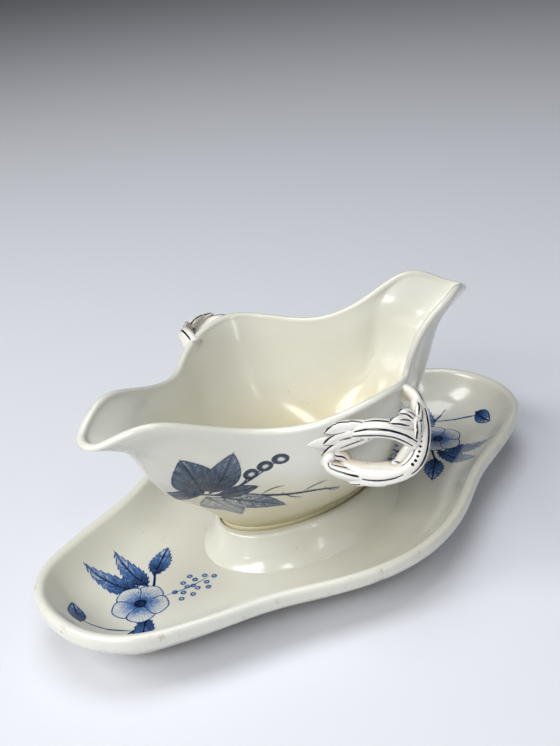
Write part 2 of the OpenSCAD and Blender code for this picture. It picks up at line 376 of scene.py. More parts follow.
# ---- drawing in ink ---------------------------------------------------------------------------
LINE_TONE = 0.95
TAPER_SHARE = 0.3


class Drawing:
    """Ink on a flat sheet: a grid of tones from 0, bare, to 1, the darkest line. Lengths are millimetres."""

    def __init__(self, low, high, step=0.3):
        self.step = step
        across = np.arange(low[0], high[0], step)
        up = np.arange(low[1], high[1], step)
        self.u, self.v = np.meshgrid(across, up, indexing="ij")
        self.ink = np.zeros_like(self.u)
        self.pivot, self.target, self.turn = (0, 0), (0, 0), 0

    def move(self, pivot, target, degrees):
        """From here on, what is drawn about the pivot lands about the target, turned."""
        self.pivot, self.target, self.turn = pivot, target, math.radians(degrees)

    def placed(self, points):
        x, y = (np.array(points, float) - self.pivot).T
        c, s = math.cos(self.turn), math.sin(self.turn)
        return np.stack([x * c - y * s, x * s + y * c], -1) + self.target

    def window(self, curve, margin):
        """The part of the grid round a curve, and how far each of its points is from the curve."""
        low, high = curve.min(0) - margin, curve.max(0) + margin
        i = np.flatnonzero((self.u[:, 0] > low[0]) & (self.u[:, 0] < high[0]))
        j = np.flatnonzero((self.v[0] > low[1]) & (self.v[0] < high[1]))
        part = (slice(i[0], i[-1] + 1), slice(j[0], j[-1] + 1))
        here = np.stack([self.u[part], self.v[part]], -1)
        return part, here, np.linalg.norm(here[:, :, None] - curve, axis=-1)

    def fill(self, outline, base, tones, hatch, edge, teeth=(0, 0)):
        """A wash inside an outline, from the first tone at its base to the second far from it.

        Its edge is a line of the tone that edge gives, and fine hatching fans out from the base. Teeth are
        a count and a depth, for a serrated leaf.
        """
        base = self.placed(base)
        curve = closed_curve(self.placed(outline), max(4, int(120 / len(outline))))
        if teeth[0]:
            saw = (np.arange(len(curve)) / len(curve) * teeth[0]) % 1
            curve = curve + normals_in_plan(curve) * (teeth[1] * (saw - 0.5))[:, None]
        part, here, gap = self.window(curve, 1.5)
        x, y = here[..., 0], here[..., 1]
        inside = np.zeros(x.shape, bool)
        for (x0, y0), (x1, y1) in zip(curve, np.roll(curve, -1, 0)):
            crosses = (y0 > y) != (y1 > y)
            inside ^= crosses & (x < x0 + (x1 - x0) * (y - y0) / (y1 - y0 + 1e-9))
        offset = here - base
        reach = np.linalg.norm(offset, axis=-1)
        share = smooth(0, 1, reach / np.linalg.norm(curve - base, axis=-1).max())
        tone = tones[0] + (tones[1] - tones[0]) * share
        tone = tone + 0.10 * np.cos(np.arctan2(offset[..., 1], offset[..., 0]) * 4 * hatch) * share
        rim = gap.min(-1)
        wash = np.where(inside, np.clip(tone, 0.06, 1), 0) * smooth(-0.1, 0.25, rim)
        line = edge * (1 - smooth(0.1, 0.42, rim))
        self.ink[part] = np.where(inside, np.maximum(wash, line), np.maximum(self.ink[part], line))

    def stroke(self, points, width, tone=LINE_TONE, taper=(0.35, 0.35)):
        """A brush line along a smooth path; its ends narrow to these shares of the width."""
        length = np.linalg.norm(np.diff(np.array(points, float), axis=0), axis=1).sum()
        count = max(8, int(length / 0.2))
        path = open_curve(self.placed(points), count)
        s = np.linspace(0, 1, count)
        growing = taper[0] + (1 - taper[0]) * smooth(0, TAPER_SHARE, s)
        thinning = taper[1] + (1 - taper[1]) * smooth(0, TAPER_SHARE, 1 - s)
        swell = np.minimum(growing, thinning)
        part, _, gap = self.window(path, width + 0.6)
        inked = tone * (1 - smooth(-0.15, 0.2, gap - width / 2 * swell)).max(-1)
        self.ink[part] = np.maximum(self.ink[part], inked)

    def berry(self, centre, radius, glint=0.12):
        """A round berry: a dark ring that lightens towards a bright spot."""
        centre = self.placed(centre)
        part, here, _ = self.window(np.array([centre], float), radius + 0.5)
        gap = np.linalg.norm(here - centre, axis=-1)
        spot = np.linalg.norm(here - (np.array(centre) + [0.1 * radius, -0.1 * radius]), axis=-1)
        tone = glint + (LINE_TONE - glint) * smooth(0.25 * radius, 0.72 * radius, spot)
        ring = LINE_TONE * (1 - smooth(0, 0.3, gap - radius))
        self.ink[part] = np.where(gap < radius, tone, np.maximum(self.ink[part], ring))

    def blossoms(self, dots, radius, tone):
        """A cluster of small round flowers, each pale about a dark heart."""
        for centre in self.placed(dots):
            part, here, _ = self.window(np.array([centre], float), radius + 0.5)
            gap = np.linalg.norm(here - centre, axis=-1)
            pale = 0.3 + 0.7 * smooth(0.3 * radius, 0.8 * radius, gap)
            petals = 1.25 * tone * pale * (1 - smooth(-0.15, 0.35, gap - radius))
            heart = 0.3 * (1 - smooth(0, 0.3, gap))
            self.ink[part] = np.maximum(self.ink[part], petals + heart)


def leaf_axes(base, tip):
    """A leaf's base, the way to its tip, and the unit direction across it."""
    base, tip = np.array(base, float), np.array(tip, float)
    along = tip - base
    return base, along, np.array([-along[1], along[0]]) / np.linalg.norm(along)


def leaf_outline(base, tip, width, fullest=0.8):
    """A pointed oval between two points; fullest over 1 puts its widest place nearer the tip."""
    base, along, across = leaf_axes(base, tip)
    s = np.linspace(0, 1, 9)[:, None]
    middle, half = base + s * along, width / 2 * np.sin(math.pi * s ** fullest) * across
    return np.vstack([middle + half, (middle - half)[-2:0:-1]])


def plain_leaf(d, base, tip, width, tones, teeth=(0, 0)):
    """A generic leaf with a midrib and side veins."""
    d.fill(leaf_outline(base, tip, width), base, tones, 10, 0.9, teeth)
    d.stroke([base, tip], 0.8, LINE_TONE, (1, 0.3))
    base, along, across = leaf_axes(base, tip)
    for share in (0.2, 0.4, 0.6):
        root = base + share * along
        for side in (-1, 1):
            end = root + 0.17 * along + side * 0.33 * width * across
            d.stroke([root, end], 0.45, 0.85, (1, 0.3))


PETALS = 5
PETAL_TONES = (0.65, 0.12)


def plain_flower(d, centre, radius, turn):
    """A generic open flower of equal petals about a dark heart."""
    for k in range(PETALS):
        angle = math.radians(turn + 360 / PETALS * k)
        tip = (centre[0] + radius * math.cos(angle), centre[1] + radius * math.sin(angle))
        d.fill(leaf_outline(centre, tip, 0.95 * radius, 1.5), centre, PETAL_TONES, 12, 0.85)
    d.berry(centre, 0.2 * radius, 0.85)


BUD_TONES = (0.9, 0.3)
STAND_LEAF_TONES = (0.85, 0.35)
LEAF_TEETH = (18, 0.9)
STAND_LEAVES = [
    ((2, 8), (-10, 30), 9), ((6, 8), (6, 32), 9), ((12, 12), (28, 24), 9), ((-6, -8), (-20, -22), 8),
]
BLOSSOM_COUNT = 14
BLOSSOM_SPACING = 1.9
BLOSSOM_TURN = 2.4
BLOSSOM_PLACE = (19, -6)
BLOSSOM_STRETCH = 1.5


def generic_spray(d):
    """A made-up spray about the origin: a flower, toothed leaves, a bud and a sprig of small blossoms."""
    d.stroke([(-24, -12), (-14, -12), (-4, -6), (8, 6), (20, 22)], 1.1, LINE_TONE, (0.5, 0.6))
    d.stroke([(-14, -12), (-24, -2), (-28, 6)], 0.7, 0.85)
    plain_leaf(d, (-29, 4), (-25, 16), 6, BUD_TONES)
    for base, tip, width in STAND_LEAVES:
        plain_leaf(d, base, tip, width, STAND_LEAF_TONES, LEAF_TEETH)
    plain_flower(d, (-3, 1), 12.5, 20)
    d.stroke([(6, -2), (16, -6), (28, -6)], 0.5, 0.7)
    dots = []
    for k in range(BLOSSOM_COUNT):
        reach, angle = BLOSSOM_SPACING * math.sqrt(k), BLOSSOM_TURN * k
        x = BLOSSOM_PLACE[0] + BLOSSOM_STRETCH * reach * math.cos(angle)
        dots.append((x, BLOSSOM_PLACE[1] + reach * math.sin(angle)))
    d.blossoms(dots, 1.1, 0.6)


STAND_PRINT_PLACE = (86, -2)


def stand_spray():
    """The print on the stand's left end, in plan."""
    d = Drawing((-128, -30), (-50, 42))
    d.move((0, 0), (-STAND_PRINT_PLACE[0], -STAND_PRINT_PLACE[1]), 0)
    generic_spray(d)
    return d


def far_spray():
    """The same print on the stand's right end, turned half round."""
    d = Drawing((50, -42), (128, 30))
    d.move((0, 0), STAND_PRINT_PLACE, 180)
    generic_spray(d)
    return d


PALE_LEAVES = [((-58, 50), (-44, 36), 9), ((-54, 50), (-32, 41), 8)]
DARK_LEAVES = [
    ((-60, 53), (-69, 73), 13), ((-58, 53), (-52, 73), 12),
    ((-60, 52), (-74, 52), 7), ((-56, 52), (-43, 54), 6),
]


def boat_spray():
    """The boat's print, a made-up spray of leaves and berries, seen square to the boat's long side."""
    d = Drawing((-86, 22), (-9, 80))
    d.stroke([(-60, 52), (-46, 50), (-34, 47), (-24, 49), (-14, 46)], 1.0, LINE_TONE, (0.8, 0.4))
    for k in range(4):
        x = -42 + 7 * k
        side = 1 - 2 * (k % 2)
        d.stroke([(x, 49), (x + 3, 49 + 3 * side), (x + 7, 49 + 4 * side)], 0.5, 0.75)
    for leaves, tones in ((PALE_LEAVES, (0.3, 0.55)), (DARK_LEAVES, (0.85, 0.55))):
        for base, tip, width in leaves:
            plain_leaf(d, base, tip, width, tones)
    for k in range(3):
        centre = (-46 + 4.5 * k, 61 + 3 * k)
        d.stroke([(-52, 54), (-48 + 2 * k, 57 + k), centre], 0.6, 0.85)
        d.berry(centre, 2.4)
    return d


PRINT_PROUD = 0.04
PRINT_DEPTH = 0.3
INK_SHOWS = 0.03


def lay_print(name, drawing, target, place, toward, body):
    """Lays a drawing on a piece as a thin skin of inked glaze.

    A ray runs from place(), for each grid point, in the direction toward.
    """
    tree = BVHTree.FromObject(target, bpy.context.evaluated_depsgraph_get())
    shape = drawing.u.shape
    starts = place(drawing.u, drawing.v).reshape(-1, 3) * MM
    ray = Vector(toward)
    depth = np.full(len(starts), np.nan)
    for k, start in enumerate(starts):
        hit = tree.ray_cast(Vector(start), ray)
        if hit[0] is not None:
            depth[k] = hit[3]
    depth = depth.reshape(shape)
    found = ~np.isnan(depth)
    total, count = np.where(found, depth, 0), found.astype(float)
    for _ in range(3):
        total, count = blurred(total), blurred(count)
    even = np.where(found, total / np.maximum(count, 1e-6), np.nan)
    starts = starts.reshape(*shape, 3)
    points = starts + depth[..., None] * np.array(toward)
    smoothed = starts + even[..., None] * np.array(toward)
    across, up = np.gradient(smoothed, axis=0), np.gradient(smoothed, axis=1)
    normal = np.cross(across, up)
    normal /= np.linalg.norm(normal, axis=-1)[..., None]
    normal *= -np.sign(normal @ np.array(toward))[..., None]
    sound = ~np.isnan(normal).any(-1)
    inked = cell_corners(drawing.ink).max(0) > INK_SHOWS
    cells = without_corner_touches(inked & cell_corners(sound).all(0))
    flip = float(np.nanmean(np.cross(across, up) @ np.array(toward))) > 0
    points, faces, used = skin(points, normal, cells, flip)
    piece = mesh(name, points / MM, faces, body)
    out = normal.reshape(-1, 3)[used]
    piece.data.normals_split_custom_set_from_vertices(np.vstack([out, -out]).tolist())
    store(piece, "ink", np.tile(drawing.ink.reshape(-1)[used], 2))
    return piece


def cell_corners(grid):
    """A grid's values at the four corners of each of its cells."""
    return np.stack([grid[:-1, :-1], grid[1:, :-1], grid[1:, 1:], grid[:-1, 1:]])


def blurred(grid):
    """A grid averaged over each point's neighbours, two steps each way."""
    for axis in (0, 1):
        padded = np.pad(grid, [(2, 2) if a == axis else (0, 0) for a in (0, 1)], mode="edge")
        n = grid.shape[axis]
        grid = sum(np.take(padded, range(k, k + n), axis) for k in range(5)) / 5
    return grid


def without_corner_touches(cells):
    """Fills cells until no two inked cells meet only at a corner."""
    cells = cells.copy()
    while True:
        a, b, c, d = cells[:-1, :-1], cells[1:, 1:], cells[1:, :-1], cells[:-1, 1:]
        falling, rising = a & b & ~c & ~d, c & d & ~a & ~b
        if not (falling.any() or rising.any()):
            return cells
        cells[1:, :-1] |= falling
        cells[:-1, :-1] |= rising


def skin(points, normal, cells, flip):
    """A closed thin shell over the marked cells of a grid: its points, faces and the grid points it uses."""
    nu, nv = points.shape[:2]
    ids = np.arange(nu * nv).reshape(nu, nv)
    i, j = np.nonzero(cells)
    quads = np.stack([ids[i, j], ids[i + 1, j], ids[i + 1, j + 1], ids[i, j + 1]], 1)
    if flip:
        quads = quads[:, ::-1]
    used, quads = np.unique(quads, return_inverse=True)
    quads = quads.reshape(-1, 4)
    flat, out = points.reshape(-1, 3)[used], normal.reshape(-1, 3)[used] * MM
    n = len(used)
    edges = np.concatenate([quads[:, [k, (k + 1) % 4]] for k in range(4)])
    keys = set(map(tuple, edges.tolist()))
    sides = [(b, a, a + n, b + n) for a, b in keys if (b, a) not in keys]
    faces = quads.tolist() + (quads[:, ::-1] + n).tolist() + sides
    return np.vstack([flat + out * PRINT_PROUD, flat - out * PRINT_DEPTH]), faces, used


# Where the prints' rays start: above the stand, and beside the boat
RAY_HEIGHT = 60
RAY_REACH = 120


def prints(dish, bowl):
    """The sprays on the stand's ends and on the boat's sides, where the rear one is turned half round."""
    def above(u, v):
        return np.stack([u, v, np.full_like(u, RAY_HEIGHT)], -1)

    made = [
        lay_print("stand_print_left", stand_spray(), dish, above, (0, 0, -1), "stand"),
        lay_print("stand_print_right", far_spray(), dish, above, (0, 0, -1), "stand"),
    ]
    side = boat_spray()
    for name, sign in (("front", 1), ("rear", -1)):
        def beside(u, v):
            return np.stack([sign * u, np.full_like(u, -sign * RAY_REACH), v], -1)

        made.append(lay_print(f"boat_print_{name}", side, bowl, beside, (0, sign, 0), "boat"))
    return made


# ---- the handles ------------------------------------------------------------------------------
HUB = (-6, -58, 71)
WALL_BITE = 1.5
ROOT_FLARE = 1.3
ROOT_FLARE_LENGTH = 2
END_ROUND = 1.8


class Strand:
    """One modelled branch of a handle: rings of points round a smooth path.

    Each point has a share of the length, from 0 to 1, and an angle round the path in degrees: 90 is the
    side away from the hub, which is the outside of the handle's ring, and -90 the side towards it.
    """

    def __init__(self, path, widths, depths, count=170, around=84, in_wall=(False, False), hub=HUB):
        path = [np.array(p, float) for p in path]
        for held, end, nxt in ((in_wall[0], 0, 1), (in_wall[1], -1, -2)):
            if held:
                step = path[end] - path[nxt]
                path[end] = path[end] + step / np.linalg.norm(step) * WALL_BITE
        self.centre = open_curve(path, count)
        along = np.gradient(self.centre, axis=0)
        pace = np.linalg.norm(along, axis=1)
        along /= pace[:, None]
        reach = self.centre - hub
        out = reach - (reach * along).sum(1)[:, None] * along
        self.out = out / np.linalg.norm(out, axis=1)[:, None]
        self.side = np.cross(along, self.out)
        self.length = pace.sum()
        share = (np.cumsum(pace) - pace[0]) / (self.length - pace[0])
        self.s, self.a = np.meshgrid(share, np.arange(around) * 360 / around - 180, indexing="ij")
        self.half_w = open_curve(widths, count) / 2
        self.half_d = open_curve(depths, count) / 2
        for held, gap in ((in_wall[0], share), (in_wall[1], 1 - share)):
            gap = gap[:, None] * self.length
            if held:
                flare = ROOT_FLARE * np.exp(-gap / ROOT_FLARE_LENGTH)
            else:
                flare = 0
                cap = np.sqrt(np.clip(1 - (1 - np.clip(gap / END_ROUND, 0, 1)) ** 2, 0.02, 1))
                self.half_w, self.half_d = self.half_w * cap, self.half_d * cap
            self.half_w, self.half_d = self.half_w + flare, self.half_d + flare
        self.lift = np.zeros_like(self.s)
        self.paint = np.zeros_like(self.s)
        # painted shade: how far each point faces the hub, inside the ring where shade falls
        self.inner = smooth(0.1, 1, -np.sin(np.radians(self.a)))

    def turn_from(self, angle):
        """How far round each point is from an angle, in degrees from -180 to 180."""
        return (self.a - angle + 180) % 360 - 180

    def gap(self, share, angle):
        """Distance in millimetres over the surface from a place on it."""
        radius = (self.half_w + self.half_d) / 2
        return np.hypot((self.s - share) * self.length, np.radians(self.turn_from(angle)) * radius)

    def ribs(self, count, height, angle):
        """Ridges that run along the branch, one of them at an angle."""
        self.lift += height * np.cos(np.radians(count * self.turn_from(angle)))

    def ridge(self, angle, spread, height, span=(0, 1), teeth=0):
        """A raised edge along an angle, between two shares of the length; teeth cut it into leaf lobes."""
        fade = smooth(span[0], span[0] + 0.08, self.s) * smooth(0, 0.08, span[1] - self.s)
        if teeth:
            fade = fade * (0.25 + 1.1 * ((self.s - span[0]) / (span[1] - span[0]) * teeth % 1) ** 0.8)
        self.lift += height * fade * np.exp(-(self.turn_from(angle) / spread) ** 2)

    def bead(self, share, angle, radius, height):
        self.lift += height * np.exp(-(self.gap(share, angle) / radius) ** 2)

    def line(self, places, width=0.75, groove=0.15):
        """A painted dark line through places given as (share, angle), sunk a little and thin at its ends."""
        steps = np.diff(np.array(places, float), axis=0) * [self.length, 0.07]
        count = max(12, int(np.hypot(*steps.T).sum() / 0.18))
        near = np.full_like(self.s, 99.0)
        for k, (share, angle) in enumerate(open_curve(places, count)):
            thin = 0.25 * smooth(0.5, 1, abs(2 * k / (count - 1) - 1))
            near = np.minimum(near, self.gap(share, angle) + thin * width)
        self.paint = np.maximum(self.paint, 1 - smooth(width * 0.35, width * 0.75, near))
        self.lift -= groove * np.exp(-(near / width) ** 2)

    def dot(self, share, angle, width):
        """A painted dark dot, wider across the branch than along it."""
        across = np.radians(self.turn_from(angle)) * (self.half_w + self.half_d) / 2
        near = np.hypot((self.s - share) * self.length * 1.5, across)
        self.paint = np.maximum(self.paint, 1 - smooth(width * 0.4, width * 0.62, near))

    def shell(self):
        """The branch's points and faces, closed at both ends, and the paint and painted shade on each point.
        """
        cos, sin = np.cos(np.radians(self.a)), np.sin(np.radians(self.a))
        ring = self.side[:, None] * ((self.half_w + self.lift) * cos)[..., None]
        ring = ring + self.out[:, None] * ((self.half_d + self.lift) * sin)[..., None]
        points, faces = capped(self.centre[:, None] + ring, self.centre[0], self.centre[-1])
        return points, faces, np.append(self.paint, [0, 0]), np.append(self.inner, [0, 0])


def modelled(name, strands, node, flip):
    """One piece of a handle from its strands; flip puts it on the rear handle."""
    points, faces, paint, inner = [], [], [], []
    for strand in strands:
        first = sum(len(p) for p in points)
        own, own_faces, own_paint, own_inner = strand.shell()
        points.append(own)
        faces += [tuple(first + k for k in face) for face in own_faces]
        paint.append(own_paint)
        inner.append(own_inner)
    points = np.concatenate(points)
    if flip:
        points = points * [-1, -1, 1]
    piece = mesh(name, turned(points), faces, "boat", [node])
    store(piece, "paint", np.concatenate(paint))
    # the painted shade on the side towards the hub
    store(piece, "inner", np.concatenate(inner))
    return piece


def upper_branch():
    """The arm from the leaf over the top of the ring, with two soft edges and three leaf tips at its root."""
    path = [
        (-17.6, -53, 77.4), (-14.4, -56.8, 79.6), (-11, -61.4, 81.6), (-6, -67, 81.5), (-1, -70.5, 78),
        (3, -72, 73.5),
    ]
    s = Strand(path, [1.6, 5.4, 8, 7.5, 7.5, 8], [1.6, 4.6, 7, 6.5, 6, 6], 220, 96)
    s.ridge(95, 38, 0.35, (0.1, 1.1))
    s.ridge(20, 24, 0.3, (0.1, 1.1))
    s.ridge(-30, 18, 0.8, (0.12, 0.42), 3)
    for angle, low, high in ((60, 0.15, 0.92), (115, 0.3, 0.75), (20, 0.1, 0.9), (-150, 0.3, 0.75)):
        s.line([(low, angle), ((low + high) / 2, angle - 8), (high, angle)], 0.8, 0.3)
    return [s]


def beaded_branch():
    """The outer branch of the ring, from the strap down and back to the wall.

    A flat band with a row of dots lies between two raised edges, and a row of beads runs on from it.
    """
    path = [
        (13.5, -61, 83.5), (10.5, -66.5, 81.5), (7, -71, 77.5), (4, -73, 72.5), (0.5, -74, 66.5),
        (-5.5, -70.5, 62.5), (-11, -64, 61), (-15, -57, 61), (-17.5, -50.5, 61.5), (-18, -45, 63),
    ]
    widths = [6, 7, 7.5, 8, 8, 8, 8, 8, 7, 6]
    depths = [5, 6, 6.5, 7, 7, 7, 7, 7, 6, 5]
    s = Strand(path, widths, depths, 300, 96, (False, True))
    s.ridge(72, 15, 0.5, (0.04, 0.9))
    s.ridge(-42, 14, 0.5, (0.08, 0.5))
    s.ridge(-72, 42, 1.9, (0.5, 0.92))
    band = smooth(0.05, 0.12, s.s) * smooth(0, 0.1, 0.52 - s.s)
    s.lift -= 0.35 * np.exp(-(s.turn_from(15) / 26) ** 2) * band
    for angle, low, high in (
        (-25, 0.1, 0.48), (60, 0.1, 0.46), (35, 0.5, 0.76),
        (80, 0.48, 0.6), (-145, 0.15, 0.7), (150, 0.5, 0.85),
    ):
        s.line([(low, angle), ((low + high) / 2, angle + 6), (high, angle)], 0.75, 0.3)
    for k in range(9):
        s.dot(0.2 + 0.028 * k, 15, 0.7 + 0.12 * k)
    for k in range(24):
        s.bead(0.56 + 0.014 * k, 84 - 0.6 * k, 0.45, 0.42)
    return [s]


def rim_strap():
    """The plain strap from the rim down to the ring."""
    path = [(16.5, -51.5, 82.5), (16, -55, 84.5), (14.5, -61, 84), (11.5, -66, 81)]
    s = Strand(path, [8, 7.5, 7, 6], [5, 5, 5, 5], 100, 84, (True, False))
    s.line([(0.1, 60), (0.95, 60)], 0.8, 0.3)
    s.line([(0.3, 145), (0.9, 145)], 0.6)
    return [s]


LEAF_HUB = np.array((-2, -14, 82))
LOBES = [
    [(-8.6, -62, 79.4), (-13.6, -56.2, 75.6), (-18.6, -49.8, 71.6), (-23, -44.8, 67.6)],
    [(-9.4, -62, 80.4), (-14.6, -56.6, 78.4), (-19.4, -51, 76), (-23.2, -46.4, 73)],
    [(-10.6, -60.4, 81.6), (-15, -56, 81), (-19.2, -51.6, 80.8), (-23.2, -48, 78.8)],
]


def leaf_blade(path, widths, depths, hub, vein=True):
    """A small modelled leaf with painted edges and a sunk middle; its path runs from the root to the tip."""
    s = Strand(path, widths, depths, 120, 72, hub=hub)
    s.lift -= 0.35 * np.exp(-(s.turn_from(90) / 28) ** 2) * smooth(0, 0.3, 1 - s.s)
    s.ridge(20, 18, 0.45, (0.1, 0.95), 3)
    s.line([(0.08, 26), (0.34, 14), (0.5, 24), (0.68, 12), (0.85, 26), (0.97, 60)], 0.8, 0.25)
    s.line([(0.97, 110), (0.84, 148), (0.7, 138), (0.56, 152), (0.36, 150)], 0.8, 0.25)
    if vein:
        s.line([(0.1, 92), (0.35, 84), (0.62, 88)], 0.6, 0.25)
    return s


def leaf():
    """The lobed leaf that lies along the wall where the ring springs, over a smooth pointed one."""
    path = [(-27.2, -42.5, 73.1), (-23.6, -45, 73.2), (-19.8, -48.2, 73.8), (-16, -51.6, 75.4)]
    strands = [Strand(path, [1, 6, 6.4, 4], [1, 2.8, 3, 3], 150, 84, hub=LEAF_HUB)]
    for k, path in enumerate(LOBES):
        strands.append(leaf_blade(path, [5.4, 7.4, 6.6, 1.4], [4.8, 4.4, 3.8, 1.2], LEAF_HUB, k < 2))
    return strands


def scroll():
    """The volute under the leaf, where the ring comes back to the wall, and the leaflet along it."""
    path = [
        (-10, -65, 61), (-14, -60, 61), (-18, -54, 61.4), (-21, -48.6, 62.6), (-21.4, -46.8, 66.4),
        (-18.8, -48.8, 68.6), (-15.6, -51.4, 67.2), (-15.2, -52.2, 64.6), (-17.4, -51.6, 64),
    ]
    s = Strand(path, [2, 6.6, 8, 8, 6, 5, 4.5, 4, 2], [2, 5.6, 7, 6, 5, 4.5, 4, 3.5, 2], 260, 84)
    s.ribs(3, 0.2, 20)
    s.line([(0.15, 20), (0.4, 10), (0.65, 0)], 0.8, 0.3)
    s.line([(0.2, -30), (0.4, -40), (0.6, -30)], 0.7, 0.3)
    s.line([(0.68, 170), (0.8, 180), (0.92, 190)], 0.75, 0.3)
    leaflet_path = [(-12.6, -63.6, 59.6), (-15.4, -60, 58.2), (-19, -56.4, 58.4)]
    leaflet = Strand(leaflet_path, [3, 4.6, 1.2], [2.4, 3, 1], 90, 60)
    leaflet.line([(0.2, 25), (0.6, 30), (1, 60)], 0.6)
    return [s, leaflet]


def curl():
    """The short tongue that curls into the ring from its outer branch."""
    path = [(2.8, -72, 74.5), (-0.6, -70.6, 71.6), (-2.2, -69.2, 68), (-4.6, -68.6, 65.6), (-6.8, -68, 67.4)]
    s = Strand(path, [6, 6.6, 6.4, 4.6, 2.6], [4.6, 5, 4.6, 3.8, 2.4], 120)
    s.line([(0.5, 60), (0.95, 30)])
    return [s]


TIED_LEAVES = [
    [(4.6, -70.6, 79.6), (6.8, -69.8, 82.4), (8.8, -67.8, 84.6), (9.8, -65.4, 86.4)],
    [(4, -70.4, 80.8), (3, -69.6, 84), (1, -68.2, 86), (-1.8, -67, 86.2)],
    [(3.4, -70.6, 80.6), (-0.8, -70.2, 83.4), (-4.4, -69.2, 84.8), (-7.8, -68, 84.6)],
    [(4.4, -71.4, 82), (3.2, -73, 80.4), (2.2, -73.8, 78), (0.6, -73.8, 75.8)],
]


def knot():
    """The small leaves tied over the place where strap, arm and outer branch meet."""
    strands = [leaf_blade(path, [4.4, 5.4, 4.4, 1.2], [3.8, 3.6, 3, 1], HUB) for path in TIED_LEAVES]
    tie = Strand([(1.8, -70.4, 83.4), (4.2, -71.6, 82), (6.6, -70.6, 80)], [3, 4.6, 3], [2.6, 4, 2.6], 90, 60)
    tie.line([(0.25, 30), (0.5, 70), (0.75, 120)], 0.65, 0.25)
    tie.line([(0.5, 0), (0.65, 30), (0.85, 60)], 0.6, 0.25)
    return strands + [tie]


def handles():
    """Both handles, piece by piece; the rear one is the same turned half round."""
    made = []
    for form in (upper_branch, beaded_branch, rim_strap, leaf, scroll, curl, knot):
        strands = form()
        for place, flip in (("front", False), ("rear", True)):
            node = f"{place}_{form.__name__}"
            made.append(modelled(f"{node}_ware", strands, node, flip))
    return made


# ---- materials --------------------------------------------------------------------------------
class Nodes:
    """A short way to write a material's node tree."""

    def __init__(self, name):
        self.material = bpy.data.materials.new(name)
        self.material.use_nodes = True
        self.tree = self.material.node_tree
        self.bsdf = self.tree.nodes["Principled BSDF"]
        self.coords = self.tree.nodes.new("ShaderNodeTexCoord").outputs["Object"]

    def link(self, source, socket):
        self.tree.links.new(source, socket)

    def add(self, kind, values=(), links=()):
        node = self.tree.nodes.new(kind)
        for key, value in dict(values).items():
            if key in node.inputs:
                node.inputs[key].default_value = value
            else:
                setattr(node, key, value)
        for key, source in dict(links).items():
            self.link(source, node.inputs[key])
        return node

    def noise(self, scale, detail, rough):
        values = {"Scale": scale, "Detail": detail, "Roughness": rough}
        return self.add("ShaderNodeTexNoise", values, {"Vector": self.coords}).outputs["Fac"]

    def bent(self, amount):
        """The coordinates pushed about by noise, so that a cell pattern loses its straight edges."""
        noise = self.add("ShaderNodeTexNoise", {"Scale": 90.0, "Detail": 2.0}, {"Vector": self.coords})
        push = self.tree.nodes.new("ShaderNodeVectorMath")
        push.operation = "MULTIPLY_ADD"
        self.link(noise.outputs["Color"], push.inputs[0])
        push.inputs[1].default_value = (amount, amount, amount)
        self.link(self.coords, push.inputs[2])
        return push.outputs[0]

    def ramp(self, value, low, high, to_low=0.0, to_high=1.0):
        values = {"From Min": low, "From Max": high, "To Min": to_low, "To Max": to_high}
        return self.add("ShaderNodeMapRange", values, {"Value": value}).outputs["Result"]

    def math(self, operation, a, b):
        node = self.tree.nodes.new("ShaderNodeMath")
        node.operation = operation
        for socket, value in zip(node.inputs, (a, b)):
            if isinstance(value, (int, float)):
                socket.default_value = value
            else:
                self.link(value, socket)
        return node.outputs[0]

    def mix(self, factor, a, b):
        node = self.tree.nodes.new("ShaderNodeMix")
        node.data_type = "RGBA"
        for socket, value in zip((node.inputs["Factor"], node.inputs[6], node.inputs[7]), (factor, a, b)):
            if isinstance(value, (int, float)):
                socket.default_value = value
            elif isinstance(value, tuple):
                socket.default_value = (*value, 1)
            else:
                self.link(value, socket)
        return node.outputs[2]

    def attribute(self, name):
        node = self.tree.nodes.new("ShaderNodeAttribute")
        node.attribute_name = name
        return node.outputs["Fac"]

    def bump(self, height, strength, distance):
        values = {"Strength": strength, "Distance": distance}
        return self.add("ShaderNodeBump", values, {"Height": height}).outputs["Normal"]


CREAM = (0.72, 0.725, 0.665)
CREAM_WARM = (0.70, 0.68, 0.56)
LOW_YELLOW = (0.60, 0.52, 0.27)
IRON_SPECK = (0.16, 0.10, 0.06)
WORN_BROWN = (0.23, 0.12, 0.06)
CRACKLE = (0.45, 0.36, 0.24)
BOAT_YELLOW_HEIGHTS = (0.028, 0.062)


def glaze_colour(n, pale, warm, yellow_heights=None):
    """The body colour under the glaze: broad warm clouds, fine mottle and a few iron specks.

    The last argument gives two heights in metres: the colour turns yellow below the first,
    and stays plain above the second.
    """
    clouds = n.ramp(n.noise(9, 3, 0.55), 0.4, 0.72)
    colour = n.mix(n.math("MULTIPLY", clouds, 0.6), pale, warm)
    if yellow_heights:
        # yellower towards the bottom of the piece, by height alone
        height = n.add("ShaderNodeSeparateXYZ", {}, {"Vector": n.coords}).outputs["Z"]
        uneven = n.ramp(n.noise(30, 2, 0.5), 0.3, 0.7, -0.006, 0.006)
        yellowed = n.ramp(n.math("ADD", height, uneven), *yellow_heights, 0.75, 0.0)
        colour = n.mix(yellowed, colour, LOW_YELLOW)
    mottle = n.ramp(n.noise(160, 4, 0.6), 0.3, 0.7)
    colour = n.mix(n.math("MULTIPLY", mottle, 0.12), colour, tuple(c * 0.9 for c in pale))
    specks = n.ramp(n.noise(700, 1, 0.5), 0.80, 0.84)
    return n.mix(n.math("MULTIPLY", specks, 0.6), colour, IRON_SPECK)


def worn(n, colour):
    """Brown wear where the glaze is thin: patches along the edges that carry the wear attribute."""
    patch = n.ramp(n.noise(95, 5, 0.75), 0.56, 0.70)
    amount = n.math("MULTIPLY", n.math("MULTIPLY", patch, n.attribute("wear")), 0.55)
    return n.mix(amount, colour, WORN_BROWN)


